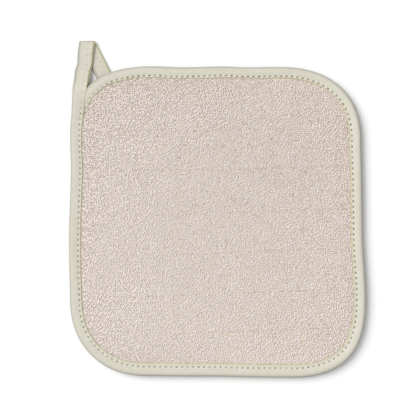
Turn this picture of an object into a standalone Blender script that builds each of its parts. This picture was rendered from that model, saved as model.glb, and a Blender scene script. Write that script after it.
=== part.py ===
"""A square pot holder lying on its back.

A filled towelling pad is bound with cream bias tape, folded over its edge. The tape starts under
the left side near the top-left corner, goes clockwise round the pad, wraps over its own start and
runs straight on past the corner as a hanging loop: a front leg, a flat fold at the top, and a back
leg whose end is sewn under the corner.

Metres, +Z up, +Y towards the loop. The origin is under the middle of the whole outline.
"""

import math
from collections import namedtuple

import bmesh
import bpy
from mathutils import Vector
from mathutils.geometry import interpolate_bezier

MM = 0.001

# Cloth and clearances
TAPE_THICKNESS = 1.0 * MM       # the tape's two plies, pressed together
TAPE_WIDTH = 20.7 * MM          # across the folded tape's outer face, opened flat
STRIP_HEIGHT = 1.5 * MM         # the tape folded on itself and sewn flat, past the pad
CLEARANCE = 0.3 * MM            # between one piece and the next
SEAM_FROM_RIM = 6.5 * MM        # stitch row to the tape's rim
SEAM_DIP = 0.3 * MM             # how far the stitches draw the tape in
PAD_CROWN = 7.4 * MM            # the pad's height at its middle

# Facets
RIM_ARC_STEPS = 6               # round the fold at the tape's rim
PAD_RIM_STEPS = 4               # round the pad's edge
LOOP_FOLD_STEPS = 6             # through the loop's top fold
LOOP_ROW_STEPS = 4              # between two rows of the loop's table

# The tape's rim round the pad, clockwise seen from above. Each knot is a place on the rim in mm,
# the heading there in degrees, how far the curve reaches before and after it, and the stretch's
# facets to the next knot. Then come the folded tape's heights, at its rim and at its sewn edge,
# and the width that its front shows.
Knot = namedtuple(
    "Knot", "name x y heading before after facets rim_low rim_high edge_low edge_high front"
)
RIM = [
    Knot("start, under the left run", -98.6, 58.5, 82, 0, 7, 6, 1.5, 5.5, 1.5, 5.5, 7.0),
    Knot("inside the wrap", -90.5, 80.0, 51, 7, 3, 4, 1.5, 5.5, 1.5, 5.5, 7.7),
    Knot("loop's end, near side", -84.5, 86.0, 40, 3, 6, 5, 1.8, 6.0, 1.8, 5.9, 7.7),
    Knot("loop's end, far side", -71.0, 93.0, 17, 6, 8, 7, 1.8, 6.0, 1.8, 5.9, 7.7),
    Knot("top, left", -46.0, 96.7, 0, 8, 10, 3, 0.0, 6.0, 0.0, 5.8, 7.7),
    Knot("top, dip", -22.5, 95.95, 0, 8, 8, 3, 0.0, 6.0, 0.0, 5.8, 7.7),
    Knot("top, bulge", 3.5, 96.65, 0, 9, 5, 2, 0.0, 6.0, 0.0, 5.8, 7.7),
    Knot("top, dent", 20.0, 96.0, 0, 5, 7, 2, 0.0, 6.0, 0.0, 5.8, 7.7),
    Knot("top, right", 46.5, 96.1, -1.5, 9, 35, 16, 0.0, 6.0, 0.0, 5.8, 7.7),
    Knot("right, top", 98.0, 46.5, -90, 27, 20, 4, 0.0, 6.0, 0.0, 5.8, 8.2),
    Knot("right, middle", 98.9, -16.0, -90, 28, 15, 3, 0.0, 6.0, 0.0, 5.8, 8.2),
    Knot("right, bottom", 101.2, -62.0, -90, 15, 36.7, 16, 0.0, 6.0, 0.0, 5.8, 8.6),
    Knot("bottom, right", 50.0, -115.0, 180, 35.7, 20, 4, 0.0, 6.0, 0.0, 5.8, 9.1),
    Knot("bottom, middle", -12.0, -114.15, 180, 20, 12, 3, 0.0, 6.0, 0.0, 5.8, 9.1),
    Knot("bottom, left", -48.5, -113.9, 180, 12, 32.5, 16, 0.0, 6.0, 0.0, 5.8, 9.1),
    Knot("left, bottom", -100.3, -61.5, 90, 30, 14, 3, 0.0, 6.0, 0.0, 5.8, 8.2),
    Knot("left, low", -100.9, -18.5, 90, 14, 15, 4, 0.0, 6.0, 0.0, 5.8, 8.2),
    Knot("left, middle", -99.55, 27.0, 90, 15, 7, 3, 0.0, 6.0, 0.0, 5.8, 8.2),
    Knot("left, top", -100.2, 48.0, 90, 7, 4, 4, 0.0, 6.0, 0.0, 5.8, 8.2),
    Knot("over the start", -99.6, 60.0, 84, 4, 5, 4, 0.0, 7.0, 0.0, 7.0, 8.2),
    Knot("leaving the pad", -98.55, 75.5, 88, 5, 2, 4, 0.2, 6.8, 0.0, 7.0, 8.6),
    Knot("past the corner's rim", -98.3, 82.5, 86, 2, 2, 4, 1.8, 5.2, 0.1, 6.9, 8.9),
    Knot("end, clear of the pad", -97.4, 88.0, 83, 2, 0, 0, 2.2, 4.5, 2.2, 4.5, 9.1),
]
PAD_EDGE_ENDS = "left, top"     # from here the pad's edge cuts across to the tape's start

# The hanging loop, in mm: places on the strip's folded rim and on its sewn edge, and the height
# of its middle. The front leg runs on to the top fold's axis, and the back leg comes back from it.
Row = namedtuple("Row", "name rim_x rim_y edge_x edge_y middle")
FRONT_LEG = [
    Row("clear of the pad", -97.4, 88.3, -87.2, 87.1, 3.35),
    Row("below the crease", -96.4, 94.0, -86.3, 93.3, 2.8),
    Row("above the crease", -94.9, 98.6, -85.2, 98.0, 2.55),
    Row("upper leg", -94.8, 104.0, -84.6, 104.0, 2.55),
    Row("under the fold", -94.4, 109.0, -83.9, 109.2, 2.55),
    Row("fold axis", -94.0, 112.2, -83.0, 112.6, 2.55),
]
BACK_LEG = [
    Row("fold axis", -94.0, 112.2, -83.0, 112.6, 0.75),
    Row("behind the front leg", -90.6, 105.8, -80.7, 109.0, 0.75),
    Row("upper back leg", -87.8, 99.7, -78.3, 104.1, 0.75),
    Row("lower back leg", -85.2, 94.5, -75.8, 98.9, 0.75),
    Row("under the corner's rim", -82.8, 89.4, -73.3, 93.8, 0.75),
    Row("sewn end", -79.2, 82.0, -69.7, 86.4, 0.75),
]
STRIP_FRONT_SHARE = 0.88        # the front plies stop short of the back plies' edge

# The pad's faces between the tape and the middle, in mm from the tape's sewn edge: the share of
# the way from the pinched edge to the free face.
PAD_TOP = [(0.6, 0.0), (2.5, 0.3), (5.5, 0.55), (10.0, 0.75), (17.0, 0.9)]
PAD_TOP_INNER = [(0.62, 0.98), (0.3, 1.0)]      # as a scale of the last of those rings, and the share
PAD_BASE = [(0.6, 0.0), (3.0, 0.4), (7.0, 0.85), (11.0, 1.0)]

# One place along the tape: a point on its rim, the directions across it and out of its front
# face, the heights of its outer faces along the latter, and the width of each ply.
Station = namedtuple("Station", "origin across up rim_low rim_high edge_low edge_high front back")


def heading_vector(degrees):
    return Vector((math.cos(math.radians(degrees)), math.sin(math.radians(degrees)), 0.0))


def eased(share):
    return share * share * (3.0 - 2.0 * share)


def mix(first, second, share):
    return first + (second - first) * share


def back_width(front, height):
    """The back ply takes what the front and the half round of the rim leave of the tape."""
    return TAPE_WIDTH - front - (math.pi - 2.0) * height / 2.0


def rim_station(origin, heading, first, second, share):
    low, high, edge_low, edge_high, front = (
        mix(getattr(first, column), getattr(second, column), eased(share)) * MM
        for column in ("rim_low", "rim_high", "edge_low", "edge_high", "front")
    )
    across = Vector((heading.y, -heading.x, 0.0))
    back = back_width(front, high - low)
    return Station(origin, across, Vector((0, 0, 1)), low, high, edge_low, edge_high, front, back)


def rim_stretch(first, second):
    """Stations along the curve from one knot up to the next, without the next."""
    start = Vector((first.x, first.y, 0.0)) * MM
    end = Vector((second.x, second.y, 0.0)) * MM
    leave = start + heading_vector(first.heading) * first.after * MM
    arrive = end - heading_vector(second.heading) * second.before * MM
    curve = interpolate_bezier(start, leave, arrive, end, first.facets + 1)
    stations = []
    for step in range(first.facets):
        if step == 0:
            heading = heading_vector(first.heading)
        else:
            heading = (curve[step + 1] - curve[step - 1]).normalized()
        stations.append(rim_station(curve[step], heading, first, second, step / first.facets))
    return stations


def rim_stations(last_knot):
    """Stations from the tape's start to the named knot, that knot's own place included."""
    names = [knot.name for knot in RIM]
    last = names.index(last_knot)
    stations = []
    for first, second in zip(RIM[:last], RIM[1 : last + 1]):
        stations += rim_stretch(first, second)
    knot = RIM[last]
    place = Vector((knot.x, knot.y, 0.0)) * MM
    stations.append(rim_station(place, heading_vector(knot.heading), knot, knot, 0.0))
    return stations


def strip_station(rim, edge, up):
    """The tape folded flat on itself, about the middle of its height."""
    width = (edge - rim).length
    half = STRIP_HEIGHT / 2.0
    across = (edge - rim) / width
    return Station(rim, across, up, -half, half, -half, half, width * STRIP_FRONT_SHARE, width)


def row_ends(row):
    return (
        Vector((row.rim_x, row.rim_y, row.middle)) * MM,
        Vector((row.edge_x, row.edge_y, row.middle)) * MM,
    )


def smooth_point(points, index, share):
    """A Catmull-Rom curve through the points, at a share of the way from one to the next."""
    before = points[max(index - 1, 0)]
    first = points[index]
    second = points[index + 1]
    after = points[min(index + 2, len(points) - 1)]
    leave = first + (second - before) / 6.0
    arrive = second - (after - first) / 6.0
    inverse = 1.0 - share
    return (
        first * inverse**3
        + leave * 3.0 * inverse * inverse * share
        + arrive * 3.0 * inverse * share * share
        + second * share**3
    )


def leg_stations(rows, up):
    rims, edges = zip(*(row_ends(row) for row in rows))
    stations = []
    for index in range(len(rows) - 1):
        for step in range(LOOP_ROW_STEPS):
            share = step / LOOP_ROW_STEPS
            rim = smooth_point(rims, index, share)
            edge = smooth_point(edges, index, share)
            stations.append(strip_station(rim, edge, up))
    stations.append(strip_station(rims[-1], edges[-1], up))
    return stations


def fold_stations():
    """The half turn at the loop's top, from the front leg's height down to the back leg's."""
    rim, edge = row_ends(FRONT_LEG[-1])
    radius = (FRONT_LEG[-1].middle - BACK_LEG[0].middle) * MM / 2.0
    across = (edge - rim).normalized()
    up = Vector((0.0, 0.0, 1.0))
    forward = up.cross(across)
    stations = []
    for step in range(1, LOOP_FOLD_STEPS):
        angle = math.pi * step / LOOP_FOLD_STEPS
        outward = up * math.cos(angle) + forward * math.sin(angle)
        shift = (outward - up) * radius
        stations.append(strip_station(rim + shift, edge + shift, outward))
    return stations


def tape_skin(station):
    """The folded tape's outer face, from the back ply's edge round the rim to the front's.

    The seam draws the front in where the tape holds the pad, but not where its plies would meet.
    """
    radius = (station.rim_high - station.rim_low) / 2.0
    seam_share = (SEAM_FROM_RIM - radius) / (station.front - radius)
    slack = radius - TAPE_THICKNESS - CLEARANCE / 2.0
    seam_height = mix(station.rim_high, station.edge_high, seam_share) - min(SEAM_DIP, slack)
    outline = [
        (station.back, station.edge_low),
        *rim_arc(station),
        (SEAM_FROM_RIM, seam_height),
        (station.front, station.edge_high),
    ]
    return placed(station, outline)


def rim_arc(station):
    """The half round at the tape's rim, from its back face up to its front face."""
    radius = (station.rim_high - station.rim_low) / 2.0
    middle = (station.rim_high + station.rim_low) / 2.0
    angles = [math.pi * step / RIM_ARC_STEPS for step in range(RIM_ARC_STEPS + 1)]
    return [(radius - radius * math.sin(turn), middle - radius * math.cos(turn)) for turn in angles]


def placed(station, outline):
    """An outline's distances from the rim and heights, as points at the station."""
    return [station.origin + station.across * u + station.up * z for u, z in outline]


def strip_section(station):
    """The sewn strip all round: the front plies end in a step above the back plies."""
    outline = [
        (station.back, station.edge_low),
        *rim_arc(station),
        (station.front, station.edge_high),
        (station.front, 0.0),
        (station.back, 0.0),
    ]
    return placed(station, outline)


def pad_section(station, centre):
    """The pad from the middle of its base, round its edge inside the tape, to its crown."""
    seat = TAPE_THICKNESS + CLEARANCE
    low = station.rim_low + seat
    high = min(station.rim_high, station.edge_high) - seat - SEAM_DIP
    radius = (high - low) / 2.0
    middle = (high + low) / 2.0
    outline = [
        (station.back + offset * MM, low * (1.0 - share)) for offset, share in reversed(PAD_BASE)
    ]
    for step in range(PAD_RIM_STEPS + 1):
        angle = math.pi * step / PAD_RIM_STEPS
        outline.append(
            (seat + radius - radius * math.sin(angle), middle - radius * math.cos(angle))
        )
    for offset, share in PAD_TOP:
        outline.append((station.front + offset * MM, mix(high, PAD_CROWN, share)))
    points = placed(station, outline)
    last_ring = points[-1]
    for scale, share in PAD_TOP_INNER:
        place = centre + (last_ring - centre) * scale
        points.append(Vector((place.x, place.y, mix(high, PAD_CROWN, share))))
    return points


def loft(name, sections, filled):
    """Joins each section to the next with quads.

    A filled loft comes round to its first section, and a face closes it at the sections' first
    points and another at their last. Any other is an open surface.
    """
    mesh = bmesh.new()
    rings = [[mesh.verts.new(point) for point in section] for section in sections]
    pairs = list(zip(rings, rings[1:]))
    if filled:
        pairs.append((rings[-1], rings[0]))
        mesh.faces.new([ring[0] for ring in rings])
        mesh.faces.new([ring[-1] for ring in rings])
    for first, second in pairs:
        for index in range(len(first) - 1):
            mesh.faces.new((first[index], first[index + 1], second[index + 1], second[index]))
    return smooth_piece(name, mesh)


def strap(name, sections):
    """Joins each closed section to the next with quads, and puts a face over each end."""
    mesh = bmesh.new()
    rings = [[mesh.verts.new(point) for point in section] for section in sections]
    for first, second in zip(rings, rings[1:]):
        for index in range(len(first)):
            after = (index + 1) % len(first)
            mesh.faces.new((first[index], first[after], second[after], second[index]))
    mesh.faces.new(rings[0])
    mesh.faces.new(rings[-1])
    return smooth_piece(name, mesh)


def smooth_piece(name, mesh):
    bmesh.ops.recalc_face_normals(mesh, faces=mesh.faces)
    data = bpy.data.meshes.new(name)
    mesh.to_mesh(data)
    mesh.free()
    data.shade_smooth()
    data.set_sharp_from_angle(angle=math.radians(40))
    return bpy.data.objects.new(name, data)


def solidify(piece):
    """The skin is the tape's outer face, so its thickness goes inwards."""
    modifier = piece.modifiers.new("Tape", "SOLIDIFY")
    modifier.thickness = TAPE_THICKNESS
    modifier.offset = -1.0
    modifier.use_even_offset = True


def cloth(name, colour, roughness):
    material = bpy.data.materials.new(name)
    material.use_nodes = True
    shader = material.node_tree.nodes["Principled BSDF"]
    shader.inputs["Base Color"].default_value = (*colour, 1.0)
    shader.inputs["Roughness"].default_value = roughness
    shader.inputs["Metallic"].default_value = 0.0
    return material


def make_pad():
    stations = rim_stations(PAD_EDGE_ENDS)
    centre = sum((station.origin for station in stations), Vector()) / len(stations)
    sections = [pad_section(station, centre) for station in stations]
    piece = loft("pad", sections, filled=True)
    piece.data.materials.append(cloth("pad towelling", (0.66, 0.58, 0.52), 0.95))
    return piece


def make_binding():
    sections = [tape_skin(station) for station in rim_stations(RIM[-1].name)]
    piece = loft("binding", sections, filled=False)
    solidify(piece)
    piece.data.materials.append(cloth("binding tape", (0.69, 0.66, 0.57), 0.85))
    return piece


def make_hanging_loop():
    up = Vector((0.0, 0.0, 1.0))
    stations = leg_stations(FRONT_LEG, up) + fold_stations() + leg_stations(BACK_LEG, -up)
    piece = strap("hanging_loop", [strip_section(station) for station in stations])
    piece.data.materials.append(cloth("loop tape", (0.67, 0.64, 0.54), 0.85))
    return piece


def clear_scene():
    for item in list(bpy.data.objects):
        bpy.data.objects.remove(item, do_unlink=True)


def main():
    clear_scene()
    collection = bpy.data.collections.new("pot holder")
    bpy.context.scene.collection.children.link(collection)
    for piece in (make_pad(), make_binding(), make_hanging_loop()):
        collection.objects.link(piece)


main()
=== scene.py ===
import math

import bpy
import numpy as np
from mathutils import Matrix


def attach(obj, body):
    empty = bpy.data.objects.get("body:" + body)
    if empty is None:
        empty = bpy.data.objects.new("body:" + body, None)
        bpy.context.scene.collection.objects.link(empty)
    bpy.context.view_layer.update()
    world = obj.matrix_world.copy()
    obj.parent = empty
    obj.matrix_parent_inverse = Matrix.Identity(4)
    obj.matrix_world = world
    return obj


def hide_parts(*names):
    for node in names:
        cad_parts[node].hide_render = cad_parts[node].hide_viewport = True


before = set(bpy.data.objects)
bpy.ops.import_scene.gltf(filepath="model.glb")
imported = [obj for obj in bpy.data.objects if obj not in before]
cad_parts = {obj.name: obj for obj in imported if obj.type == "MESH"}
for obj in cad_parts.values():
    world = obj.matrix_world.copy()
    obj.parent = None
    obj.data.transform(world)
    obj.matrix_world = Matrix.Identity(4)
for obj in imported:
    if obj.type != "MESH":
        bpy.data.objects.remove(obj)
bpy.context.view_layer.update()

# A square pot holder on a white table, seen from straight above: a towelling pad bound in one
# length of cream tape, which runs on past the top-left corner as a hanging loop.
# Tables are in millimetres and degrees. Meshes and materials are in metres.
mm = 0.001

# The photograph's frame: its middle, and the pixel that lies over the outline's middle
photo = {
    "pixels": 416,
    "mmPerPixel": 0.68,
    "middleX": 217.4,
    "middleY": 208.5,
    "scaleHeight": 3.5,        # the height of the edge that the scale was read on
    "lens": 85.0,
    "sensor": 36.0,
}


# A new object in the scene, with its data.
def addObject(name, data):
    added = bpy.data.objects.new(name, data)
    bpy.context.scene.collection.objects.link(added)
    return added


# Points and faces as arrays go into a mesh, and a new object takes it, shaded smooth.
def addPiece(name, points, *faceSets):
    sizes = np.concatenate([np.full(len(faces), faces.shape[1]) for faces in faceSets])
    corners = np.concatenate([faces.ravel() for faces in faceSets])
    mesh = bpy.data.meshes.new(name)
    mesh.vertices.add(len(points))
    mesh.loops.add(len(corners))
    mesh.polygons.add(len(sizes))
    mesh.vertices.foreach_set("co", (points * mm).astype(np.float32).ravel())
    mesh.loops.foreach_set("vertex_index", corners.astype(np.int32))
    mesh.polygons.foreach_set("loop_start", (np.cumsum(sizes) - sizes).astype(np.int32))
    mesh.update(calc_edges=True)
    mesh.shade_smooth()
    return addObject(name, mesh)


# Four corners for each cell of a grid of points that is numbered row by row.
def gridFaces(rows, columns):
    low = (np.arange(rows - 1)[:, None] * columns + np.arange(columns - 1)).ravel()
    return np.stack([low, low + 1, low + columns + 1, low + columns], 1)


# Three values for every point of a piece, which its material reads under one name.
def addAttribute(piece, name, *values):
    vectors = np.stack([column.ravel() for column in values], 1)
    attribute = piece.data.attributes.new(name, "FLOAT_VECTOR", "POINT")
    attribute.data.foreach_set("vector", vectors.astype(np.float32).ravel())


# A map in metres of cloth, given for every point and handed to every corner of a face.
def addMap(piece, name, places):
    mesh = piece.data
    corner = np.empty(len(mesh.loops), np.int32)
    mesh.loops.foreach_get("vertex_index", corner)
    layer = mesh.uv_layers.new(name=name)
    layer.uv.foreach_set("vector", (places[corner] * mm).astype(np.float32).ravel())


# Uneven cloth: sine waves of mixed length and heading added up. Their settings are about how high
# they reach, the shortest and the longest, how many there are, and their seed.
def uneven(x, y, waves):
    high, shortest, longest, count, seed = waves
    random = np.random.default_rng(seed)
    total = np.zeros(np.broadcast(x, y).shape)
    for _ in range(count):
        turn, phase = random.uniform(0, 2 * math.pi, 2)
        number = 2 * math.pi / random.uniform(shortest, longest)
        total += np.sin(number * (x * math.cos(turn) + y * math.sin(turn)) + phase)
    return total / math.sqrt(2 * count) * high


# A slow start and a slow end between 0 and 1.
def eased(share):
    return share * share * (3 - 2 * share)


# A bell curve: one at no distance, and about a third at its reach.
def bell(distance, reach):
    return np.exp(-((distance / reach) ** 2))


# A cubic curve from its start to its end, drawn towards two places on the way.
def cubic(start, leave, arrive, end, share):
    left = 1 - share
    return (start * left**3 + 3 * leave * left**2 * share
            + 3 * arrive * left * share**2 + end * share**3)


# The running sum of steps, from nothing.
def summed(steps):
    return np.concatenate([[0], np.cumsum(steps)])


# Vectors brought to length one.
def unit(vectors):
    return vectors / np.linalg.norm(vectors, axis=-1)[..., None]


# Tubes through rows of places: about each place a ring that turns from its side to its top, as
# tall as it is wide or flatter, and a pole a little past each end of the row.
def tubePoints(middle, up, radius, sides, tall=1.0):
    along = unit(np.gradient(middle, axis=1))
    side = unit(np.cross(up, along))
    top = np.cross(along, side)
    angle = (np.arange(sides) * 2 * math.pi / sides)[:, None]
    ring = side[..., None, :] * np.cos(angle) + top[..., None, :] * np.sin(angle) * tall
    rings = middle[..., None, :] + ring * radius[..., None, None]
    past = along * radius[..., None] / 2
    poles = np.stack([middle[:, 0] - past[:, 0], middle[:, -1] + past[:, -1]], 1)
    return np.concatenate([rings.reshape(len(middle), -1, 3), poles], 1).reshape(-1, 3)


# The faces of such tubes: quads between the rings, and a fan of triangles to each pole.
def tubeFaces(tubes, rings, sides):
    side = np.arange(sides)
    after = (side + 1) % sides
    low = np.arange(rings - 1)[:, None] * sides
    wall = np.stack([low + side, low + after, low + sides + after, low + sides + side], -1)
    end = (rings - 1) * sides
    caps = np.concatenate([
        np.stack([side * 0 + rings * sides, after, side], 1),
        np.stack([side * 0 + rings * sides + 1, end + side, end + after], 1),
    ])
    start = (np.arange(tubes) * (rings * sides + 2))[:, None, None]
    return ((wall.reshape(1, -1, 4) + start).reshape(-1, 4), (caps[None] + start).reshape(-1, 3))


# The tape's rim, clockwise from its start. Each knot has a place, a heading, how far the curve
# reaches before and after it, the folded tape's heights at its rim and at its sewn edge, the
# width that shows in front, the seam's distance from the rim, and how hard the seam pulls.
knotColumns = "x y heading before after rimLow rimHigh edgeLow edgeHigh front seam pull".split()
rimKnots = {
    "start, under the left run": (-98.6, 58.5, 82, 0, 7, 1.4, 5.4, 1.4, 5.3, 7.0, 6.2, 0.5),
    "inside the wrap": (-90.5, 80.0, 51, 7, 3, 1.4, 5.7, 1.5, 5.5, 7.7, 6.4, 0.5),
    "loop's end, near side": (-84.5, 86.0, 40, 3, 6, 1.8, 5.9, 1.8, 5.6, 7.7, 6.5, 0.4),
    "loop's end, far side": (-71.0, 93.0, 17, 6, 8, 1.8, 6.0, 1.8, 5.6, 7.7, 6.5, 1),
    "top, left": (-46.0, 96.7, 0, 8, 10, 0, 6, 0, 5.6, 7.8, 6.5, 1),
    "top, dip": (-22.5, 95.95, 0, 8, 8, 0, 6, 0, 5.6, 7.8, 6.5, 1),
    "top, bulge": (3.5, 96.65, 0, 9, 5, 0, 6, 0, 5.6, 7.9, 6.5, 1),
    "top, dent": (20.0, 96.0, 0, 5, 7, 0, 6, 0, 5.6, 7.6, 6.5, 1),
    "top, right": (46.5, 96.1, -1.5, 9, 35, 0, 6, 0, 5.6, 7.8, 6.5, 1),
    "right, top": (98.0, 46.5, -90, 27, 20, 0, 6, 0, 5.6, 8.2, 6.5, 1),
    "right, middle": (98.9, -16.0, -90, 28, 15, 0, 6, 0, 5.6, 8.2, 6.5, 1),
    "right, bottom": (101.2, -62.0, -90, 15, 36.7, 0, 6, 0, 5.6, 8.6, 6.5, 1),
    "bottom, right": (50.0, -115.0, 180, 35.7, 20, 0, 6, 0, 5.6, 9.1, 6.6, 0.8),
    "bottom, middle": (-12.0, -114.15, 180, 20, 12, 0, 6, 0, 5.6, 9.1, 6.6, 0.8),
    "bottom, left": (-48.5, -113.9, 180, 12, 32.5, 0, 6, 0, 5.6, 9.1, 6.6, 0.8),
    "left, bottom": (-100.3, -61.5, 90, 30, 14, 0, 6, 0, 5.6, 8.2, 6.5, 0.8),
    "left, low": (-100.9, -18.5, 90, 14, 15, 0, 6, 0, 5.6, 8.1, 6.5, 0.8),
    "left, middle": (-99.55, 27.0, 90, 15, 7, 0, 6, 0, 5.6, 8.0, 6.5, 0.8),
    "left, top": (-100.2, 48.0, 90, 7, 4, 0, 6, 0, 5.6, 8.0, 6.5, 0.8),
    "over the start": (-99.6, 60.0, 84, 4, 5, 0, 6.2, 0, 5.7, 8.2, 6.5, 0.8),
    "leaving the pad": (-98.55, 75.5, 88, 5, 2, 0.2, 6.3, 0, 5.8, 9.0, 6.9, 0.2),
    "past the corner's rim": (-98.3, 82.5, 86, 2, 2, 1.8, 5.2, 0.1, 5.8, 9.8, 7.1, 0.2),
    "end, clear of the pad": (-97.4, 88.0, 83, 2, 0, 2.6, 4.1, 2.6, 4.1, 9.4, 7.2, 0.2),
}

# The loop's strip: places on its folded rim and on its sewn edge, the height of its middle, how
# far the upper ply and the seam reach from the rim, and how hard the seam pulls
rowColumns = "rimX rimY edgeX edgeY middle front seam pull".split()
frontLeg = {
    "clear of the pad": (-97.4, 88.3, -87.2, 87.1, 3.35, 9.4, 7.2, 0.2),
    "below the crease": (-96.9, 94.0, -86.3, 93.3, 2.8, 9.7, 7.2, 0.2),
    "above the crease": (-95.6, 98.6, -85.2, 98.0, 2.55, 9.7, 7.0, 0.2),
    "upper leg": (-95.3, 104.0, -84.6, 104.0, 2.55, 10.0, 6.7, 0.2),
    "under the fold": (-94.7, 109.0, -83.9, 109.3, 2.55, 10.2, 6.4, 0.2),
    "fold axis": (-94.1, 112.4, -83.0, 112.9, 2.55, 10.4, 6.2, 0.2),
}
backLeg = {
    "fold axis": (-94.1, 112.4, -83.0, 112.9, 0.75, 10.4, 6.2, 0.2),
    "behind the front leg": (-90.6, 105.8, -80.7, 109.0, 0.75, 9.8, 6.9, 0.2),
    "upper back leg": (-87.8, 99.7, -78.3, 104.1, 0.75, 9.3, 7.2, 0.2),
    "lower back leg": (-85.2, 94.5, -75.8, 98.9, 0.75, 9.3, 7.2, 0.2),
    "under the corner's rim": (-82.8, 89.4, -73.3, 93.8, 0.75, 9.3, 7.0, 0.2),
    "sewn end": (-79.2, 82.0, -69.7, 86.4, 0.75, 9.3, 6.8, 0.2),
}

tape = {
    "foldedWidth": 20.7,       # across its outer face, from edge to edge
    "ply": 0.26,
    "plySpacing": 0.30,        # between the middles of a ply and its turned-under hem
    "hemClearOfRim": 1.5,
    "stripHeight": 1.5,        # four plies, where the tape is folded on itself
    "stripEdge": 1.1,          # the same at its edge, where they are pressed together
    "rimSquare": 0.72,         # the rim is a half round at 1, and squarer below
    "dip": 0.18,               # how deep the seam draws each face in at full pull
    "seamSpread": 0.85,        # the trough's half width
    "holeDip": 0.15,           # the extra pull of each stitch, at its needle holes
    "holeSpread": 0.6,
    "holeFar": 9.0,            # from the seam, said of points inside the fold
    "stitchPitch": 3.72,
    "edgePull": 0.10,          # the edge is drawn in at each needle hole
    "rimWander": (0.12, 18, 60, 5, 3),      # these four are waves of uneven cloth
    "edgeWander": (0.16, 9, 30, 6, 4),
    "seamWander": (0.10, 14, 50, 5, 6),
    "pucker": (0.09, 6, 18, 8, 5),
    "spacing": 0.84,           # between one row of points and the next
    "bendSpacing": 0.13,       # radians between rows where the strip turns over
    "rimSteps": 64,            # places worked out from one knot to the next
    "loopSteps": 40,           # and from one of the strip's rows to the next
    "hemPoints": 3,            # points of the section, by stretch
    "edgePoints": 4,
    "frontPoints": 12,
    "rimPoints": 8,
    "backPoints": 7,
}


# Every stretch is a cubic curve between two knots, and heights ease from one knot to the next.
# The tape's own height is counted from the middle of its rim. Behind lies what the front and the
# half round of the rim leave of its width.
def rimStations(steps):
    knots = np.array(list(rimKnots.values()), float)
    first, second = ({name: row[:, None] for name, row in zip(knotColumns, table.T)}
                     for table in (knots[:-1], knots[1:]))
    share = np.arange(steps) / steps
    place, along = {}, {}
    for axis, toward in (("x", np.cos), ("y", np.sin)):
        start = first[axis]
        leave = start + toward(np.radians(first["heading"])) * first["after"]
        end = second[axis]
        arrive = end - toward(np.radians(second["heading"])) * second["before"]
        left = 1 - share
        place[axis] = cubic(start, leave, arrive, end, share)
        along[axis] = ((leave - start) * left**2 + 2 * (arrive - leave) * left * share
                       + (end - arrive) * share**2)
    size = np.hypot(along["x"], along["y"])
    level = {name: (first[name] + (second[name] - first[name]) * eased(share)).ravel()
             for name in knotColumns[knotColumns.index("rimLow"):]}
    middle = (level["rimLow"] + level["rimHigh"]) / 2
    radius = (level["rimHigh"] - level["rimLow"]) / 2
    flat = np.zeros(middle.size)
    return {
        "origin": np.stack([place["x"].ravel(), place["y"].ravel(), middle], 1),
        "across": np.stack([(along["y"] / size).ravel(), (-along["x"] / size).ravel(), flat], 1),
        "up": np.stack([flat, flat, flat + 1], 1),
        "radius": radius,
        "edgeLow": level["edgeLow"] - middle,
        "edgeHigh": level["edgeHigh"] - middle,
        "front": level["front"],
        "back": tape["foldedWidth"] - level["front"] - (math.pi - 2) * radius,
        "seam": level["seam"],
        "pull": level["pull"],
    }


# A strip of even height between a line along its rim and a line along its edge.
def stripStations(rim, edge, up, front, seam, pull):
    width = np.linalg.norm(edge - rim, axis=1)
    even = np.ones(len(rim))
    return {
        "origin": rim,
        "across": (edge - rim) / width[:, None],
        "up": up,
        "radius": even * tape["stripHeight"] / 2,
        "edgeLow": -even * tape["stripEdge"] / 2,
        "edgeHigh": even * tape["stripEdge"] / 2,
        "front": front,
        "back": width,
        "seam": seam,
        "pull": pull,
    }


# A smooth curve through the rows' places, bent at each as its neighbours ask.
def throughRows(rows, steps):
    at = np.concatenate([rows[:1], rows, rows[-1:]])[:, None]
    share = (np.arange(steps) / steps)[:, None]
    before, first, second, after = at[:-3], at[1:-2], at[2:-1], at[3:]
    leave = first + (second - before) / 6
    arrive = second - (after - first) / 6
    curve = cubic(first, leave, arrive, second, share)
    return np.concatenate([curve.reshape(-1, rows.shape[1]), rows[-1:]])


# The front leg, a half turn about the fold's axis, and the back leg upside down.
def loopStations(steps):
    legs = []
    for table, facing in ((frontLeg, 1.0), (backLeg, -1.0)):
        column = dict(zip(rowColumns, throughRows(np.array(list(table.values())), steps).T))
        rim = np.stack([column["rimX"], column["rimY"], column["middle"]], 1)
        edge = np.stack([column["edgeX"], column["edgeY"], column["middle"]], 1)
        upward = np.tile([0, 0, facing], (len(rim), 1))
        legs.append((rim, edge, upward, column["front"], column["seam"], column["pull"]))
    rim, edge, _, *widths = (part[-1] for part in legs[0])
    drop = rim[2] - legs[1][0][0, 2]
    across = (edge - rim) / np.linalg.norm(edge - rim)
    forward = np.cross([0, 0, 1], across)
    angle = (np.arange(1, steps) * math.pi / steps)[:, None]
    outward = np.array([0, 0, 1]) * np.cos(angle) + forward * np.sin(angle)
    shift = (outward - [0, 0, 1]) * drop / 2
    fold = (rim + shift, edge + shift, outward, *(np.full(steps - 1, width) for width in widths))
    return [stripStations(*part) for part in (legs[0], fold, legs[1])]


# The whole tape as rows at even spacing, closer together where the strip turns over.
def tapeStations():
    parts = [rimStations(tape["rimSteps"]), *loopStations(tape["loopSteps"])]
    rows = {name: np.concatenate([part[name] for part in parts]) for name in parts[0]}
    step = np.linalg.norm(np.diff(rows["origin"], axis=0), axis=1)
    turn = np.arccos(np.clip((rows["up"][1:] * rows["up"][:-1]).sum(1), -1, 1))
    travel = summed(step + turn * tape["spacing"] / tape["bendSpacing"])
    places = np.linspace(0, travel[-1], int(travel[-1] / tape["spacing"]) + 1)
    return resampled({**rows, "length": summed(step)}, travel, places)


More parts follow.
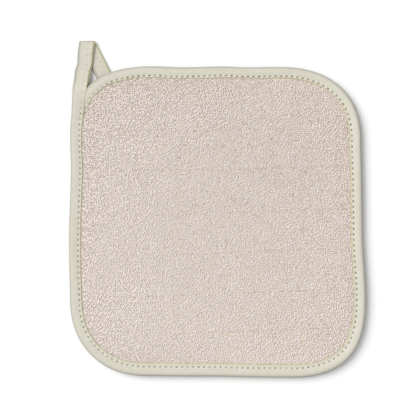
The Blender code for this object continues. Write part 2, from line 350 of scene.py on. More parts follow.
# Each column read off at new places along the tape, with directions brought back to length one.
def resampled(rows, at, places):
    found = {}
    for name, column in rows.items():
        if column.ndim == 1:
            found[name] = np.interp(places, at, column)
        else:
            found[name] = np.stack([np.interp(places, at, line) for line in column.T], 1)
    for name in ("across", "up"):
        found[name] = unit(found[name])
    return found


# The tape wanders a little, and its stitch count grows by one for each pitch along its seam.
def sewnTape():
    rows = tapeStations()
    length = rows["length"]
    wander = uneven(length, 0, tape["rimWander"])
    rows["origin"] = rows["origin"] + rows["across"] * wander[:, None]
    rows["front"] = rows["front"] + uneven(length, 0, tape["edgeWander"])
    rows["seam"] = rows["seam"] + uneven(length, 0, tape["seamWander"])
    line = rows["origin"] + rows["across"] * rows["seam"][:, None]
    step = np.linalg.norm(np.diff(line, axis=0), axis=1)
    rows["stitch"] = summed(step) / tape["stitchPitch"]
    rows["front"] = rows["front"] - np.cos(2 * math.pi * rows["stitch"]) * tape["edgePull"]
    return rows


# A trough along the seam, a bell curve across it. The needle holes deepen it, by the cube of a
# wave from 0 to 1 and back in each stitch.
def seamTrough(rows, u):
    apart = u - rows["seam"][:, None]
    hole = (np.cos(2 * math.pi * rows["stitch"])[:, None] * 0.5 + 0.5) ** 3
    depth = (tape["dip"] * bell(apart, tape["seamSpread"])
             + tape["holeDip"] * hole * bell(apart, tape["holeSpread"]))
    return depth * rows["pull"][:, None]


# The height of the front face, and of the back face, at a distance from the rim. Each runs straight
# from the rim to the sewn edge, less the seam's trough, and the front's puckers only go down.
def faceHeights(rows, u):
    radius, low, high = (rows[name][:, None] for name in ("radius", "edgeLow", "edgeHigh"))
    inFront = (u - radius) / (rows["front"][:, None] - radius)
    behind = (u - radius) / (rows["back"][:, None] - radius)
    pucker = uneven(rows["length"][:, None], u, tape["pucker"])
    front = radius + (high - radius) * inFront + (pucker - np.abs(pucker)) / 2
    back = -radius + (low + radius) * behind
    return front - seamTrough(rows, u), back + seamTrough(rows, u)


# One ply's section: the front hem, a tight turn, the front face, half a superellipse for the rim,
# the back face, another tight turn and the back hem. u runs inwards from the rim, and z up. It
# also says which points lie outside, and how far each is from the edge that its face folds at.
def tapeProfile(rows):
    half, lay = tape["ply"] / 2, tape["plySpacing"]
    turn, inset = lay / 2, (tape["ply"] + lay) / 2
    radius = rows["radius"][:, None]
    ends = {name: rows[name][:, None] - inset for name in ("front", "back")}
    turning = np.linspace(-math.pi / 2, math.pi / 2, tape["edgePoints"] + 2)[1:-1]
    hemStart = radius + tape["hemClearOfRim"]

    def run(start, end, count):
        return start + (end - start) * np.linspace(0, 1, count)

    def edgeTurn(name, side):
        middle = faceHeights(rows, ends[name])[0 if side > 0 else 1] - side * (half + turn)
        return ends[name] + turn * np.cos(turning), middle + turn * np.sin(turning)

    frontHem = run(hemStart, ends["front"], tape["hemPoints"])
    frontFace = run(ends["front"], radius, tape["frontPoints"])
    backFace = run(radius, ends["back"], tape["backPoints"])
    backHem = run(ends["back"], hemStart, tape["hemPoints"])
    bend = np.linspace(0, math.pi, tape["rimPoints"] + 2)[1:-1]
    out = np.sin(bend) ** tape["rimSquare"]
    rise = np.sign(np.cos(bend)) * np.abs(np.cos(bend)) ** tape["rimSquare"]
    parts = [
        (frontHem, faceHeights(rows, frontHem)[0] - half - lay),
        edgeTurn("front", 1),
        (frontFace, faceHeights(rows, frontFace)[0] - half),
        (radius - (radius - half) * out, (radius - half) * rise),
        (backFace, faceHeights(rows, backFace)[1] + half),
        edgeTurn("back", -1),
        (backHem, faceHeights(rows, backHem)[1] + half + lay),
    ]
    u = np.concatenate([part[0] for part in parts], 1)
    z = np.concatenate([part[1] for part in parts], 1)
    index = np.repeat(np.arange(len(parts)), [part[0].shape[1] for part in parts])
    frontAt, rimAt, backAt = 2, 3, 4        # which of the parts are the faces and the rim
    outside = (index >= frontAt) & (index <= backAt)
    fromFold = np.where(index <= rimAt, rows["front"][:, None], rows["back"][:, None]) - u
    return u, z, outside, fromFold


# The tape's painted shade: how olive it is at its edge and how grey at its rim, by bell curves of
# the distance from each. Where the strip turns over it is both. A zero makes up the three.
def paintedFoldShade(rows, u, outside, fromFold):
    atEdge = bell(np.maximum(fromFold, 0), tapeLook["edgeShadeReach"])
    atRim = bell(u, tapeLook["rimShadeReach"]) * outside
    turned = 1 - np.abs(rows["up"][:, 2:]) ** 4
    oliveFoldShade = np.maximum(atEdge * tapeLook["edgeShadeStrength"], turned)
    greyRimShade = np.maximum(atRim, turned) * tapeLook["rimShadeStrength"]
    return oliveFoldShade, greyRimShade, 0 * u


# The section carried along the tape's rows.
def makeTape(rows):
    u, z, outside, fromFold = tapeProfile(rows)
    points = (rows["origin"][:, None] + rows["across"][:, None] * u[..., None]
              + rows["up"][:, None] * z[..., None])
    piece = addPiece("tape", points.reshape(-1, 3), gridFaces(*u.shape))
    girth = np.cumsum(np.hypot(np.diff(u, axis=1), np.diff(z, axis=1)), axis=1)
    girth = np.concatenate([np.zeros((len(u), 1)), girth], 1)
    along, count, pull, seam = (np.broadcast_to(rows[name][:, None], u.shape)
                                for name in ("length", "stitch", "pull", "seam"))
    addMap(piece, "cloth", np.stack([along.ravel(), girth.ravel()], 1))
    addAttribute(piece, "sewing", count, np.where(outside, u - seam, tape["holeFar"]), pull)
    addAttribute(piece, "foldShade", *paintedFoldShade(rows, u, outside, fromFold))
    wall = piece.modifiers.new("ply", "SOLIDIFY")
    wall.thickness = tape["ply"] * mm
    wall.offset = 0
    wall.use_even_offset = True
    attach(piece, "root")
    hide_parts("binding", "hanging_loop")
    size = (girth[:, -1].mean() * mm, rows["length"][-1] * mm)
    return piece


thread = {
    "radius": 0.21,
    "sink": 0.55,              # of its ends into the needle holes
    "reach": 0.38,             # of a pitch, each way from the stitch's middle
    "thinner": 0.3,            # at its ends
    "sides": 6,
    "steps": 8,
    "firstShown": 7,           # the stitches before it are under the left run
}


# Each stitch is a short tube along the seam, level with the cloth beside the seam, whose ends
# dive into the needle holes, by the cube of the distance from its middle.
def makeStitches(name, rows, facing):
    count = np.arange(thread["firstShown"], int(rows["stitch"][-1]) - 1) + 0.5
    share = np.linspace(-1, 1, thread["steps"])
    at = (count[:, None] + share * thread["reach"]).ravel()
    here = resampled(rows, rows["stitch"], at)
    seam = here["seam"][:, None]
    front, back = faceHeights(here, seam)
    depth = tape["dip"] * here["pull"][:, None]
    bow = np.tile(np.abs(share) ** 3, len(count))[:, None]
    level = depth - thread["radius"] - thread["sink"] * bow
    height = front + level if facing > 0 else back - level
    middle = here["origin"] + here["across"] * seam + here["up"] * height
    shape = (len(count), len(share), 3)
    radius = thread["radius"] * (1 - thread["thinner"] * bow).reshape(shape[:2])
    points = tubePoints(middle.reshape(shape), here["up"].reshape(shape), radius, thread["sides"])
    piece = addPiece(name, points, *tubeFaces(len(count), thread["steps"], thread["sides"]))
    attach(piece, "root")
    return piece


pad = {
    "seat": 1.3,               # inside the tape's outer face
    "inset": 5.0,              # from the rim to where each face's grid begins
    "pinched": 5.0,            # the height of its front where the tape's edge holds it
    "crown": 6.4,
    "rise": 6.5,               # how far in the crown is two thirds up
    "slack": (0.05, 22, 60, 9, 11),         # how it rolls, as waves of uneven cloth
    "baseLift": 1.7,           # its back, where the tape's edge holds it
    "baseClear": 0.95,
    "baseReach": 4.0,
    "across": 130,             # cells of the front grid. The back's are twice as large
    "down": 140,
    "rings": 6,                # round its edge
    "tone": 0.5,               # from warm to cool
}


# The pad's outline: the tape's rim up to where the left run crosses the start, then straight
# across. Places along it are found by their share of its length.
def padOutline(rows):
    last = np.argmin(np.hypot(*(rows["origin"][:, :2] - rimKnots["left, top"][:2]).T))
    rim = {name: rows[name][: last + 1] for name in ("origin", "across", "front", "back", "radius")}
    closed = {name: np.concatenate([column, column[:1]]) for name, column in rim.items()}
    closed["up"] = np.tile([0.0, 0, 1], (len(closed["origin"]), 1))
    step = np.linalg.norm(np.diff(closed["origin"][:, :2], axis=0), axis=1)
    return closed, summed(step) / step.sum()


# Shares of the outline at its four corners, clockwise from the bottom left.
def cornerShares(outline, share):
    x, y = outline["origin"][:, 0], outline["origin"][:, 1]
    return [share[np.argmax(sx * x + sy * y)] for sx, sy in ((-1, -1), (-1, 1), (1, 1), (1, -1))]


# Four sides of the outline as rows of shares: left going up, top, right going down, bottom.
def sideShares(corners, across, down):
    sides = []
    for index, count in enumerate((down, across, down, across)):
        start, end = corners[index], corners[(index + 1) % 4]
        end += 1 if end < start else 0
        sides.append(np.linspace(start, end, count + 1) % 1)
    return sides


# A patch between four curved sides: the two blends of opposite sides, less their corners' blend.
def patch(left, top, right, bottom):
    s = np.linspace(0, 1, len(top))[None, :, None]
    t = np.linspace(0, 1, len(left))[:, None, None]
    low, high = bottom[None], top[None]
    near, far = left[:, None], right[:, None]
    corners = ((1 - s) * (1 - t) * bottom[0] + s * (1 - t) * bottom[-1]
               + (1 - s) * t * top[0] + s * t * top[-1])
    return (1 - t) * low + t * high + (1 - s) * near + s * far - corners


# How far inside the tape's sewn edge a place lies, in front or behind: its distance across the
# tape from the nearest of the rim's places, less the tape's width there. Every second place on
# the rim is enough, and batches keep the tables of distances small.
def insideTape(outline, x, y, face):
    everySecond = slice(None, None, 2)
    batches = 24
    rim, inward = (outline[name][everySecond, :2] for name in ("origin", "across"))
    width = outline[face][everySecond]

    def inside(px, py):
        gap = np.stack([px, py], 1)[:, None] - rim
        nearest = np.argmin(np.hypot(gap[..., 0], gap[..., 1]) - width, axis=1)
        return (gap[np.arange(len(px)), nearest] * inward[nearest]).sum(1) - width[nearest]

    parts = zip(np.array_split(x.ravel(), batches), np.array_split(y.ravel(), batches))
    return np.concatenate([inside(px, py) for px, py in parts]).reshape(x.shape)


# Where the pile parts in a line across the cloth: the line's height and slope at the middle, its
# two ends and its depth
partings = {
    "along the top": (78.9, -0.7, -62, 80, 0.5),
    "left, faint": (62.6, 1.4, -75, 30, 0.4),
    "first, wide": (52.7, 0.6, -75, 95, 0.8),
    "short, faint": (42.0, 0.8, -45, 5, 0.5),
    "long, faint": (34.7, 1.5, -50, 90, 0.35),
    "second, full width": (26.5, 1.1, -95, 95, 1.0),
    "at the left": (10.5, 1.5, -75, -20, 0.45),
    "third, full width": (-3.1, 1.6, -90, 95, 0.8),
    "fourth, wide": (-30.3, 2.4, -75, 85, 0.6),
    "fifth, full width": (-57.8, 2.1, -90, 85, 0.9),
    "sixth, at the right": (-84.0, 2.3, -35, 80, 1.0),
}
parting = {
    "halfWidth": 0.55,
    "fade": 3.0,               # how gently it ends
    "uneven": 0.5,             # how much its depth comes and goes along it
    "waves": (0.5, 5, 25, 8, 31),           # by waves of uneven cloth
    "ridge": 0.12,             # the cloth rises this high under it
    "ridgeHalfWidth": 2.4,
}


# How deep the pile is parted at a place: the deepest of the lines' bell curves across the rows,
# which come and go along each line and fade at its ends.
def parted(x, y, halfWidth):
    depth = np.zeros(x.shape)
    for height, slope, left, right, most in partings.values():
        apart = y - height - x * math.tan(math.radians(slope))
        ends = [1 / (1 + np.exp(-gap / parting["fade"])) for gap in (x - left, right - x)]
        come = 1 - parting["uneven"] * (0.5 + uneven(x, height, parting["waves"]))
        depth = np.maximum(depth, most * bell(apart, halfWidth) * come * ends[0] * ends[1])
    return depth


# The front's height: pinched at the tape, closing in on the crown as a cooling body does, and
# raised in a low ridge under each parting.
def frontHeight(outline, x, y):
    inside = np.maximum(insideTape(outline, x, y, "front"), 0)
    share = 1 - np.exp(-inside / pad["rise"])
    slack = uneven(x, y, pad["slack"])
    ridge = parted(x, y, parting["ridgeHalfWidth"]) * parting["ridge"]
    return pad["pinched"] + (pad["crown"] - pad["pinched"] + slack + ridge) * share


# The back's height: lifted at the tape, and flat inside.
def backHeight(outline, x, y):
    inside = np.maximum(insideTape(outline, x, y, "back"), 0)
    lift = (pad["baseLift"] - pad["baseClear"]) * np.exp(-inside / pad["baseReach"])
    return pad["baseClear"] + lift


# The front's grid of places, and the back's with cells twice as large, both inside the rim.
def padGrids(outline, share, sides):
    grids = []
    for coarse in (1, 2):
        edges = []
        for side in sides:
            here = resampled(outline, share, side[::coarse])
            edges.append((here["origin"] + here["across"] * pad["inset"])[:, :2])
        left, top, right, bottom = edges
        grids.append(patch(left, top, right[::-1], bottom[::-1]))
    return grids


# Rings round the pad's edge inside the tape: a half circle from its front to its back, carried
# along the outline.
def padRings(outline, share, loop):
    here = resampled(outline, share, loop)
    radius = (here["radius"] * 2 - 2 * pad["seat"] - tape["dip"])[:, None] / 2
    low = here["origin"][:, 2:] - here["radius"][:, None] + pad["seat"]
    angle = np.linspace(0, math.pi, pad["rings"])
    u = pad["seat"] + radius * (1 - np.sin(angle))
    z = low + radius * (1 + np.cos(angle))
    places = here["origin"][:, None, :2] + here["across"][:, None, :2] * u[..., None]
    return np.concatenate([places, z[..., None]], 2).transpose(1, 0, 2)


# A closed body: the front's grid, the edge's rings, and the back's coarser grid, joined by a strip
# that takes two cells to one.
def makePad(rows):
    outline, share = padOutline(rows)
    sides = sideShares(cornerShares(outline, share), pad["across"], pad["down"])
    front, back = padGrids(outline, share, sides)
    frontZ = frontHeight(outline, front[..., 0], front[..., 1])
    backZ = backHeight(outline, back[..., 0], back[..., 1])
    loop = np.concatenate([side[:-1] for side in sides])
    rings = padRings(outline, share, loop)
    points = [np.dstack([front, frontZ]).reshape(-1, 3), rings.reshape(-1, 3),
              np.dstack([back, backZ]).reshape(-1, 3)]
    frontStart, ringStart, backStart, _ = summed([len(part) for part in points])
    ringOf = ringStart + np.arange(pad["rings"])[:, None] * len(loop) + np.arange(len(loop))
    lines = [frontStart + borderOf(*frontZ.shape), *ringOf]
    bands = [bandFaces(inner, outer) for inner, outer in zip(lines[:-1], lines[1:])]
    backEdge = backStart + borderOf(*backZ.shape)
    quads = [gridFaces(*frontZ.shape), *bands, gridFaces(*backZ.shape)[:, ::-1] + backStart]
    places = np.concatenate(points)
    piece = addPiece("padCloth", places, np.concatenate(quads), halvingFaces(ringOf[-1], backEdge))
    # The cloth between the loops has a low shade, so it takes the deep colour as painted shade
    shade = acrossCloth("clothShade", places[:, 0], places[:, 1])
    addAttribute(piece, "yarn", shade, 0 * shade + pad["tone"], 0 * shade)
    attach(piece, "root")
    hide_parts("pad")
    return piece, outline


# The numbers of a grid's border points: up the left, along the top, down the right and back.
def borderOf(rows, columns):
    number = np.arange(rows * columns).reshape(rows, columns)
    return np.concatenate([number[:-1, 0], number[-1, :-1], number[:0:-1, -1], number[0, :0:-1]])


# A band of faces between two closed lines of as many points.
def bandFaces(inner, outer):
    return np.stack([inner, np.roll(inner, -1), np.roll(outer, -1), outer], 1)


# Three triangles for each pair of points on the fine line and one on the coarse line.
def halvingFaces(fine, coarse):
    first, middle, last = fine[::2], fine[1::2], np.roll(fine, -2)[::2]
    after = np.roll(coarse, -1)
    return np.concatenate([
        np.stack([first, middle, coarse], 1),
        np.stack([middle, after, coarse], 1),
        np.stack([middle, last, after], 1),
    ])


# All the loops of yarn. A range is from the least to the most, as a share of what is usual.
pile = {
    "rowTurn": 1.4,            # degrees that the rows rise to the right
    "headings": (90, 270),     # of the loops, before they spread
    "lengthRange": (0.75, 1.25),
    "heightRange": (0.65, 1.3),
    "yarnRange": (0.85, 1.15),
    "nearTape": 12.0,          # the loops this near to the tape lie lower
    "held": 0.5,               # by this share of their height
    "yarnRings": (-1.0, -0.42, 0.42, 1.0),  # in half lengths from a loop's middle
    "raised": (False, True, True, False),   # which rings stand on the cloth
    "raisedYarn": 1.1,         # the yarn's radius there, as a share
    "footYarn": 0.8,           # and elsewhere
    "foot": 0.35,              # how far a loop's feet go into the cloth
    "sides": 3,
    "pressed": 0.55,           # the yarn's height as a share of its width
    "sway": 0.14,              # of a loop's length
    "swayHalfWave": 1.4,       # in half lengths
    "shade": 0.95,             # of the lightest loops
    "footShade": 0.6,          # a painted shade at a loop's feet, as a share of the shade of its top
    "leastSpread": 0.03,       # of the loops' shades
    "edgeShadeReach": 9.0,          # how far in from the tape its painted shade reaches
    "partedHeight": 0.7,       # how much a parting takes from their height, and from their shade as painted shade
    "partedShade": 0.9,
    "partedRange": (0.2, 1.8),
    # The rest are a value in the middle, and what each mm to the right and each mm up adds
    "clothShade": (0.18, -0.0025, 0),       # the cloth between the loops, whose low shade is painted shade
    "shadeSpread": (0.17, 0.0010, 0.0006),
    "edgePaintedShade": (0.34, -0.0045, 0.0017),    # painted shade on the loops beside the tape
    "overallPaintedShade": (0.09, -0.0010, 0.0005),      # painted shade over all the loops
}

# Each face's loops: the steps between them and how far they stray, their length, the yarn's radius
# and their height, how many degrees they spread, and how far inside the tape the first ones are
frontPile = {
    "across": 1.12, "down": 1.34, "jitter": 0.38, "length": 1.35, "yarn": 0.45, "height": 0.34,
    "spread": 55, "clear": -0.1, "seed": 21,
}
backPile = {
    "across": 2.0, "down": 2.35, "jitter": 0.3, "length": 2.7, "yarn": 0.38, "height": 0.32,
    "spread": 45, "clear": 0.8, "seed": 22,
}


# A value that grows evenly across the cloth.
def acrossCloth(name, x, y):
    middle, right, up = pile[name]
    return middle + right * x + up * y


# Rows of spots, every second one shifted by half a step, jittered, turned and kept clear of the
# tape. Their distance inside the tape comes with them.
def pileSpots(outline, look, face, random):
    half = np.abs(outline["origin"][:, :2]).max()
    x, y = np.meshgrid(np.arange(-half, half, look["across"]), np.arange(-half, half, look["down"]))
    x[1::2] += look["across"] / 2
    x += random.uniform(-1, 1, x.shape) * look["jitter"] * look["across"]
    y += random.uniform(-1, 1, x.shape) * look["jitter"] * look["down"]
    turn = math.radians(pile["rowTurn"])
    x, y = x * math.cos(turn) - y * math.sin(turn), x * math.sin(turn) + y * math.cos(turn)
    x, y = x.ravel(), y.ravel()
    inside = insideTape(outline, x, y, face)
    kept = inside > look["clear"]
    return x[kept], y[kept], inside[kept]


# Each loop of yarn is an arch of a few rings from foot to foot, swayed to an S by a sine wave,
# lower where the pile is parted and beside the tape. Most are nearly as light as the lightest, by
# an exponential spread, and a loop's two poles have the shade of the rings that they close.
# Painted shade darkens the feet, the loops along the partings and beside the tape, and a little
# all over.
def makePile(name, x, y, inside, low, facing, look, random):
    count = len(x)
    share = np.array(pile["yarnRings"])
    heading = random.choice(pile["headings"], count) + random.normal(0, look["spread"], count)
    heading = np.radians(heading)
    along = np.stack([np.cos(heading), np.sin(heading), 0 * heading], 1)[:, None]
    side = np.stack([-np.sin(heading), np.cos(heading), 0 * heading], 1)[:, None]
    up = np.array([0.0, 0.0, facing])
    length = look["length"] * random.uniform(*pile["lengthRange"], count)
    sway = random.normal(0, pile["sway"], count) * length
    split = parted(x, y, parting["halfWidth"]) if facing > 0 else 0 * x
    free = 1 - pile["held"] * np.exp(-inside / pile["nearTape"])
    height = look["height"] * random.uniform(*pile["heightRange"], count)
    height = height * free * (1 - pile["partedHeight"] * split)
    tall = np.where(pile["raised"], height[:, None], -pile["foot"])
    place = np.stack([x, y, low], 1)[:, None]
    wave = np.sin(share * math.pi / pile["swayHalfWave"])[:, None]
    middle = (place + along * (length[:, None, None] / 2 * share[:, None])
              + side * (sway[:, None, None] * wave) + up * tall[..., None])
    radius = look["yarn"] * random.uniform(*pile["yarnRange"], count)[:, None]
    radius = radius * np.where(pile["raised"], pile["raisedYarn"], pile["footYarn"])
    upward = np.broadcast_to(up, middle.shape)
    points = tubePoints(middle, upward, radius, pile["sides"], pile["pressed"])
    piece = addPiece(name, points, *tubeFaces(count, len(share), pile["sides"]))
    spread = np.maximum(acrossCloth("shadeSpread", x, y), pile["leastSpread"])
    shade = pile["shade"] - random.exponential(1, count) * spread
    shade = shade - pile["partedShade"] * split * random.uniform(*pile["partedRange"], count)
    # Painted shade at the feet: their rings take a share of the top's shade
    ringShade = np.clip(shade, 0, 1)[:, None] * np.where(pile["raised"], 1.0, pile["footShade"])
    tone = random.uniform(0, 1, count)
    # Painted shade beside the tape, and painted shade over the whole cloth
    paintedShade = acrossCloth("edgePaintedShade", x, y) * np.exp(-inside / pile["edgeShadeReach"])
    paintedShade = paintedShade + acrossCloth("overallPaintedShade", x, y)
    perPoint = np.concatenate([np.repeat(ringShade, pile["sides"], 1), ringShade[:, [0, -1]]], 1)
    each = [np.repeat(values, perPoint.shape[1]) for values in (tone, paintedShade)]
    addAttribute(piece, "yarn", perPoint, *each)
    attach(piece, "root")
    return piece


# The front's pile in three bands down the cloth, and the back's in one.
def makeTowelling(outline):
    random = np.random.default_rng(frontPile["seed"])
    x, y, inside = pileSpots(outline, frontPile, "front", random)
    low = frontHeight(outline, x, y)
    band = np.digitize(y, np.quantile(y, (1 / 3, 2 / 3)))
    pieces = []
    for number, name in enumerate(("pileLower", "pileMiddle", "pileUpper")):
        here = band == number
        pieces.append(makePile(name, x[here], y[here], inside[here], low[here], 1.0, frontPile, random))
    random = np.random.default_rng(backPile["seed"])
    x, y, inside = pileSpots(outline, backPile, "back", random)
    low = backHeight(outline, x, y)
    return pieces + [makePile("pileBack", x, y, inside, low, -1.0, backPile, random)]


# A socket that sums and products can be written with. Each operation adds a Math node.
class Wire:
    def __init__(self, finish, socket):
        self.finish = finish
        self.socket = socket

    def __add__(self, other):
        return self.finish.math("ADD", self, other)

    def __sub__(self, other):
        return self.finish.math("SUBTRACT", self, other)

    def __rsub__(self, other):
        return self.finish.math("SUBTRACT", other, self)

    def __mul__(self, other):
        return self.finish.math("MULTIPLY", self, other)

    __radd__ = __add__
    __rmul__ = __mul__


# A material with one Principled shader, whose plain values are set by name.
class Finish:
    def __init__(self, name, plain):
        self.material = bpy.data.materials.new(name)
        self.material.use_nodes = True
        self.tree = self.material.node_tree
        self.shader = self.tree.nodes["Principled BSDF"]
        for socket, value in plain.items():
            self.shader.inputs[socket].default_value = value

    # Adds a node: its settings first, then a value or a wire for each of its sockets.
    def node(self, kind, settings=None, sockets=None, output=0):
        made = self.tree.nodes.new("ShaderNode" + kind)
        for name, value in (settings or {}).items():
            setattr(made, name, value)
        for name, value in (sockets or {}).items():
            self.feed(made.inputs[name], value)
        return Wire(self, made.outputs[output])

    def feed(self, socket, value):
        if isinstance(value, Wire):
            self.tree.links.new(value.socket, socket)
        else:
            socket.default_value = value

    def math(self, operation, *values):
        return self.node("Math", {"operation": operation}, dict(enumerate(values)))

    def smoothly(self, value, low, high):
        return self.node("MapRange", {"interpolation_type": "SMOOTHSTEP"},
                         {"Value": value, "From Min": low, "From Max": high})

    # A colour between two, by a factor from 0 to 1. A Mix node's sockets share their names, so
    # the ones for colour go by their numbers.
    def between(self, factor, first, second):
        return self.node("Mix", {"data_type": "RGBA"}, {0: factor, 6: first, 7: second}, 2)

    # The three numbers of a vector.
    def split(self, vector):
        first = self.node("SeparateXYZ", None, {"Vector": vector})
        return [Wire(self, output) for output in first.socket.node.outputs]

    # The three values that a piece's points have under a name.
    def read(self, name):
        return self.split(self.node("Attribute", {"attribute_name": name}, None, "Vector"))

    def noise(self, places, perMetre, detail=2.0, stretch=(1, 1, 1)):
        spread = self.node("Mapping", None, {"Vector": places, "Scale": stretch})
        return self.node("TexNoise", None,
                         {"Vector": spread, "Scale": perMetre, "Detail": detail})

    def colour(self, wire):
        self.feed(self.shader.inputs["Base Color"], wire)

    def bump(self, height, distance):
        self.feed(self.shader.inputs["Normal"],
                  self.node("Bump", None, {"Height": height, "Distance": distance}))

    def apply(self, *pieces):
        for piece in pieces:
            piece.data.materials.append(self.material)


tapeLook = {
    "cream": (0.535, 0.513, 0.440, 1),
    # A darker cream for the streaks' and mottles' own tone, and for painted shade along the seam
    "mottleAndSeamShade": (0.484, 0.458, 0.372, 1),
    # An olive painted shade at the tape's edges and where the strip turns over
    "oliveFoldShade": (0.420, 0.405, 0.190, 1),
    # A grey painted shade at the tape's rim and where the strip turns over
    "greyRimShade": (0.215, 0.208, 0.178, 1),
    # A painted shade in each needle hole
    "needleHoleShade": (0.105, 0.082, 0.042, 1),
    "edgeShadeReach": 0.5,          # mm from its edge that the painted olive shade reaches
    "edgeShadeStrength": 0.85,
    "rimShadeReach": 1.25,          # mm from its rim that the painted grey shade reaches
    "rimShadeStrength": 0.9,
    "holeLong": 0.6,           # a needle hole is longer than broad by the root of their ratio
    "holeBroad": 1.3,
    "holeCore": 0.34,          # mm from a needle hole's middle that is all dark, and where it ends
    "holeRim": 0.84,
    "holeDark": (0.65, 1.0),   # the faintest and the darkest painted shade in a hole
    "streaksPerMetre": 160,
    "streakStretch": (0.12, 1, 1),          # along the tape, across it and through it
    "mottlesPerMetre": 300,
    "shadeBand": (0.35, 0.65),              # where between the two's lows and highs shade sets in
    "shadeDepth": 0.7,
    "seamBand": (0.1, 0.9),    # mm from the seam, over which its painted shade ends
    "seamPaintedShade": 0.2,
    "threadsPerMetre": 2600,
    "bumpHeight": 0.00003,     # of 1 in the next three
    "weaveBump": 0.5,
    "streakBump": 1.5,
    "holeBump": 4,
    "plain": {"Roughness": 0.85, "Sheen Weight": 0.2},
}


# Cream cotton cut on the bias: a plain weave of two crossed sets of ridges, at 45 degrees to the
# tape, long faint streaks, painted shade along the seam, an olive painted shade at the folds, a
# grey painted shade at the rim, and a painted shade at each needle hole.
def tapeFinish():
    look = tapeLook
    finish = Finish("cream cotton tape", look["plain"])
    place = finish.node("UVMap", {"uv_map": "cloth"})
    along, girth, _ = finish.split(place)
    threads = look["threadsPerMetre"] * math.pi
    warp = finish.math("SINE", (along + girth) * threads)
    weft = finish.math("SINE", (along - girth) * threads)
    streak = finish.noise(place, look["streaksPerMetre"], detail=3, stretch=look["streakStretch"])
    mottle = finish.noise(place, look["mottlesPerMetre"])
    # A painted shade at each needle hole, its strength varied from stitch to stitch
    count, fromSeam, pull = finish.read("sewing")
    toHole = finish.math("PINGPONG", count, 0.5) * tape["stitchPitch"]
    radius = finish.math("SQRT", toHole * toHole * look["holeLong"]
                         + fromSeam * fromSeam * look["holeBroad"])
    faint, dark = look["holeDark"]
    each = finish.node("TexWhiteNoise", {"noise_dimensions": "1D"},
                       {"W": finish.math("ROUND", count)}) * (dark - faint) + faint
    hole = (1 - finish.smoothly(radius, look["holeCore"], look["holeRim"])) * pull * each
    # Painted shade along the seam
    inSeam = 1 - finish.smoothly(finish.math("ABSOLUTE", fromSeam), *look["seamBand"])
    shade = (finish.smoothly(streak * 0.5 + mottle * 0.5, *look["shadeBand"])
             * look["shadeDepth"] + inSeam * pull * look["seamPaintedShade"])
    # Painted shade at the folds and at the rim
    oliveFoldShade, greyRimShade, _ = finish.read("foldShade")
    cloth = finish.between(shade, look["cream"], look["mottleAndSeamShade"])
    cloth = finish.between(oliveFoldShade, cloth, look["oliveFoldShade"])
    cloth = finish.between(greyRimShade, cloth, look["greyRimShade"])
    finish.colour(finish.between(hole, cloth, look["needleHoleShade"]))
    finish.bump(warp * weft * look["weaveBump"] + streak * look["streakBump"]
                - hole * look["holeBump"], look["bumpHeight"])
    return finish


threadLook = {
    "spinsPerMetre": 3000,
    "spinHeight": 0.00004,
    "plain": {"Base Color": (0.70, 0.68, 0.575, 1), "Roughness": 0.6, "Sheen Weight": 0.15},
}


# Spun thread: a little uneven in height.
def threadFinish():
    finish = Finish("sewing thread", threadLook["plain"])
    place = finish.node("TexCoord", output="Object")
    spin = finish.noise(place, threadLook["spinsPerMetre"], detail=1)
    finish.bump(spin, threadLook["spinHeight"])
    return finish


towelLook = {
    "warm": (0.762, 0.658, 0.586, 1),
    "cool": (0.728, 0.707, 0.707, 1),
    # The darker loops' own colour, and painted shade at the feet, along the partings and between the
    # loops
    "deep": (0.530, 0.431, 0.362, 1),
    # A painted shade for the loops beside the tape and over the cloth
    "paintedShade": (0.450, 0.380, 0.330, 1),
    "blotch": 0.12,            # how much slow blotches and single fibres change the shade
    "blotchesPerMetre": 45,
    "fibre": 0.4,
    "fibresPerMetre": 2400,
    "fibreHeight": 0.00007,
    "shadeBand": (-0.15, 0.85),             # the shades that are all deep, and not deep at all
    "plain": {"Roughness": 0.95, "Sheen Weight": 0.25},
}


# Cotton towelling: every loop has a shade, a tone and a painted shade of its own, with slow
# blotches over all and the yarn's fibres as fine bumps. The lowest shades take the deep colour;
# among them is painted shade at the loops' feet, along the partings and on the cloth between
# the loops.
def towelFinish():
    finish = Finish("towelling", towelLook["plain"])
    place = finish.node("TexCoord", output="Object")
    fibre = finish.noise(place, towelLook["fibresPerMetre"])
    blotch = finish.noise(place, towelLook["blotchesPerMetre"])
    shade, tone, paintedShade = finish.read("yarn")
    yarn = finish.between(tone, towelLook["warm"], towelLook["cool"])
    lit = shade + (blotch - 0.5) * towelLook["blotch"] + (fibre - 0.5) * towelLook["fibre"]
    light = finish.smoothly(lit, *towelLook["shadeBand"])
    cloth = finish.between(light, towelLook["deep"], yarn)
    # Painted shade beside the tape and over the cloth
    finish.colour(finish.between(paintedShade, cloth, towelLook["paintedShade"]))
    finish.bump(fibre, towelLook["fibreHeight"])
    return finish


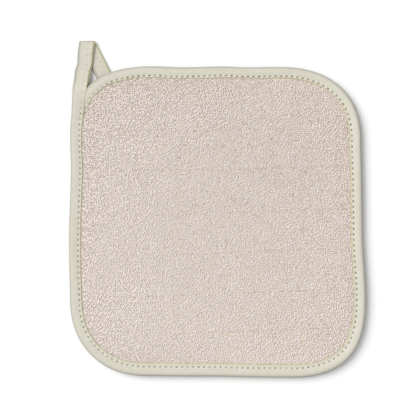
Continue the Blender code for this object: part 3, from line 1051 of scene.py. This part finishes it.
studio = {
    "sunFrom": (-0.74, 0.40, 0.76),
    "sunStrength": 3.05,
    "sunSpread": 45,           # degrees across the sun, which softens the shadows
    "surround": 0.70,
    "floor": 3.0,              # metres across
    "table": {"Base Color": (0.79, 0.79, 0.79, 1), "Roughness": 0.9},
}


# A camera straight above the photograph's middle, as far up as its lens needs for the field.
def makeCamera():
    field = photo["pixels"] * photo["mmPerPixel"]
    x = (photo["pixels"] / 2 - photo["middleX"]) * photo["mmPerPixel"]
    y = (photo["middleY"] - photo["pixels"] / 2) * photo["mmPerPixel"]
    height = field * photo["lens"] / photo["sensor"] + photo["scaleHeight"]
    data = bpy.data.cameras.new("camera")
    data.lens = photo["lens"]
    data.sensor_width = photo["sensor"]
    camera = addObject("camera", data)
    camera.location = (x * mm, y * mm, height * mm)
    bpy.context.scene.camera = camera


# A white table, a broad sun from the upper left, and an even white surround.
def makeStudio():
    half = studio["floor"] / 2 / mm
    corners = np.array([[-1.0, -1, 0], [1, -1, 0], [1, 1, 0], [-1, 1, 0]]) * half
    floor = addPiece("floor", corners, np.array([[0, 1, 2, 3]]))
    Finish("white table", studio["table"]).apply(floor)
    data = bpy.data.lights.new("key", "SUN")
    data.energy = studio["sunStrength"]
    data.angle = math.radians(studio["sunSpread"])
    key = addObject("key", data)
    key.location = studio["sunFrom"]
    key.rotation_euler = (-key.location).to_track_quat("-Z", "Y").to_euler()
    world = bpy.data.worlds.new("surround")
    world.use_nodes = True
    white = world.node_tree.nodes["Background"].inputs
    white["Strength"].default_value = studio["surround"]
    white["Color"].default_value = (1, 1, 1, 1)
    bpy.context.scene.world = world
    bpy.context.scene.view_settings.view_transform = "Standard"


makeCamera()
makeStudio()
print("camera and table made")
rows = sewnTape()
tapeFinish().apply(makeTape(rows))
print("tape folded and sewn,", round(rows["length"][-1]), "mm long")
threadFinish().apply(makeStitches("stitchesFront", rows, 1), makeStitches("stitchesBack", rows, -1))
print("stitches sewn")
padPiece, outline = makePad(rows)
print("pad filled")
towelFinish().apply(padPiece, *makeTowelling(outline))
print("pile raised")
